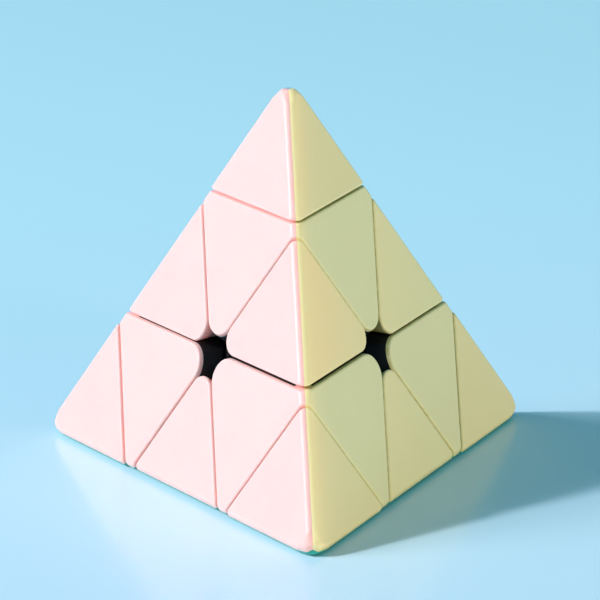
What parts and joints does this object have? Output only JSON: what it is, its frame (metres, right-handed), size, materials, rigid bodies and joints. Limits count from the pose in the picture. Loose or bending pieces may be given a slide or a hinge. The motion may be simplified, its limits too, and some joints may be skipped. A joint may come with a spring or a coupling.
{
  "type": "pyramid twisty puzzle",
  "caption": "Triangular pyramid twisty puzzle with turning corner layers and tips: coloured panels on dark inner mouldings that hook together round a sprung core.",
  "frame": {"origin": "middle of the core, where the turning axes meet", "axes": "+Z to the apex, the front corner towards -Y, +X along the back edge of the base to the right"},
  "size_m": [0.0988, 0.0863, 0.0813],
  "materials": {
    "pink_plastic": "satin moulded, pastel pink",
    "yellow_plastic": "satin moulded, pastel yellow",
    "blue_plastic": "satin moulded, pastel blue",
    "mint_plastic": "satin moulded, mint green",
    "black_plastic": "matt moulded, black",
    "spring_steel": "plain bright steel"
  },
  "bodies": {
    "core": {"spider_core": "black_plastic", "core_screws": "spring_steel", "tension_springs": "spring_steel", "spring_washers": "spring_steel"},
    "centre_apex": {"centre_apex_core": "black_plastic", "centre_apex_blue": "blue_plastic", "centre_apex_yellow": "yellow_plastic", "centre_apex_pink": "pink_plastic"},
    "centre_front": {"centre_front_core": "black_plastic", "centre_front_mint": "mint_plastic", "centre_front_yellow": "yellow_plastic", "centre_front_pink": "pink_plastic"},
    "centre_left": {"centre_left_core": "black_plastic", "centre_left_mint": "mint_plastic", "centre_left_blue": "blue_plastic", "centre_left_pink": "pink_plastic"},
    "centre_right": {"centre_right_core": "black_plastic", "centre_right_mint": "mint_plastic", "centre_right_blue": "blue_plastic", "centre_right_yellow": "yellow_plastic"},
    "tip_apex": {"tip_apex_core": "black_plastic", "tip_apex_blue": "blue_plastic", "tip_apex_yellow": "yellow_plastic", "tip_apex_pink": "pink_plastic"},
    "tip_front": {"tip_front_core": "black_plastic", "tip_front_mint": "mint_plastic", "tip_front_yellow": "yellow_plastic", "tip_front_pink": "pink_plastic"},
    "tip_left": {"tip_left_core": "black_plastic", "tip_left_mint": "mint_plastic", "tip_left_blue": "blue_plastic", "tip_left_pink": "pink_plastic"},
    "tip_right": {"tip_right_core": "black_plastic", "tip_right_mint": "mint_plastic", "tip_right_blue": "blue_plastic", "tip_right_yellow": "yellow_plastic"},
    "edge_apex_front": {"edge_apex_front_core": "black_plastic", "edge_apex_front_yellow": "yellow_plastic", "edge_apex_front_pink": "pink_plastic"},
    "edge_apex_left": {"edge_apex_left_core": "black_plastic", "edge_apex_left_blue": "blue_plastic", "edge_apex_left_pink": "pink_plastic"},
    "edge_apex_right": {"edge_apex_right_core": "black_plastic", "edge_apex_right_blue": "blue_plastic", "edge_apex_right_yellow": "yellow_plastic"},
    "edge_front_left": {"edge_front_left_core": "black_plastic", "edge_front_left_mint": "mint_plastic", "edge_front_left_pink": "pink_plastic"},
    "edge_front_right": {"edge_front_right_core": "black_plastic", "edge_front_right_mint": "mint_plastic", "edge_front_right_yellow": "yellow_plastic"},
    "edge_left_right": {"edge_left_right_core": "black_plastic", "edge_left_right_mint": "mint_plastic", "edge_left_right_blue": "blue_plastic"}
  },
  "joints": [
    {"name": "apex_layer_turn", "type": "hinge", "parent": "core", "child": "centre_apex", "pos_m": [0, 0, 0], "axis": [0, 0, 1], "continuous": true},
    {"name": "front_layer_turn", "type": "hinge", "parent": "core", "child": "centre_front", "pos_m": [0, 0, 0], "axis": [0, -0.9428, -0.3333], "range_deg": [-360, 360]},
    {"name": "left_layer_turn", "type": "hinge", "parent": "core", "child": "centre_left", "pos_m": [0, 0, 0], "axis": [-0.8165, 0.4714, -0.3333], "range_deg": [-360, 360]},
    {"name": "right_layer_turn", "type": "hinge", "parent": "core", "child": "centre_right", "pos_m": [0, 0, 0], "axis": [0.8165, 0.4714, -0.3333], "range_deg": [-360, 360]},
    {"name": "apex_tip_turn", "type": "hinge", "parent": "centre_apex", "child": "tip_apex", "pos_m": [0, 0, 0], "axis": [0, 0, 1], "continuous": true},
    {"name": "front_tip_turn", "type": "hinge", "parent": "centre_front", "child": "tip_front", "pos_m": [0, 0, 0], "axis": [0, -0.9428, -0.3333], "continuous": true},
    {"name": "left_tip_turn", "type": "hinge", "parent": "centre_left", "child": "tip_left", "pos_m": [0, 0, 0], "axis": [-0.8165, 0.4714, -0.3333], "continuous": true},
    {"name": "right_tip_turn", "type": "hinge", "parent": "centre_right", "child": "tip_right", "pos_m": [0, 0, 0], "axis": [0.8165, 0.4714, -0.3333], "continuous": true},
    {"name": "edge_apex_front_turn", "type": "hinge", "parent": "centre_apex", "child": "edge_apex_front", "pos_m": [0, 0, 0], "axis": [0, -0.9428, -0.3333], "range_deg": [-360, 360]},
    {"name": "edge_apex_left_turn", "type": "hinge", "parent": "centre_apex", "child": "edge_apex_left", "pos_m": [0, 0, 0], "axis": [-0.8165, 0.4714, -0.3333], "range_deg": [-360, 360]},
    {"name": "edge_apex_right_turn", "type": "hinge", "parent": "centre_apex", "child": "edge_apex_right", "pos_m": [0, 0, 0], "axis": [0.8165, 0.4714, -0.3333], "range_deg": [-360, 360]},
    {"name": "edge_front_left_turn", "type": "hinge", "parent": "centre_front", "child": "edge_front_left", "pos_m": [0, 0, 0], "axis": [-0.8165, 0.4714, -0.3333], "range_deg": [-360, 360]},
    {"name": "edge_front_right_turn", "type": "hinge", "parent": "centre_front", "child": "edge_front_right", "pos_m": [0, 0, 0], "axis": [0.8165, 0.4714, -0.3333], "range_deg": [-360, 360]},
    {"name": "edge_left_right_turn", "type": "hinge", "parent": "centre_left", "child": "edge_left_right", "pos_m": [0, 0, 0], "axis": [0.8165, 0.4714, -0.3333], "range_deg": [-360, 360]}
  ],
  "couplings": [
    {"joint": "edge_apex_front_turn", "follows": "front_layer_turn", "ratio": 1},
    {"joint": "edge_apex_left_turn", "follows": "left_layer_turn", "ratio": 1},
    {"joint": "edge_apex_right_turn", "follows": "right_layer_turn", "ratio": 1},
    {"joint": "edge_front_left_turn", "follows": "left_layer_turn", "ratio": 1},
    {"joint": "edge_front_right_turn", "follows": "right_layer_turn", "ratio": 1},
    {"joint": "edge_left_right_turn", "follows": "right_layer_turn", "ratio": 1}
  ]
}
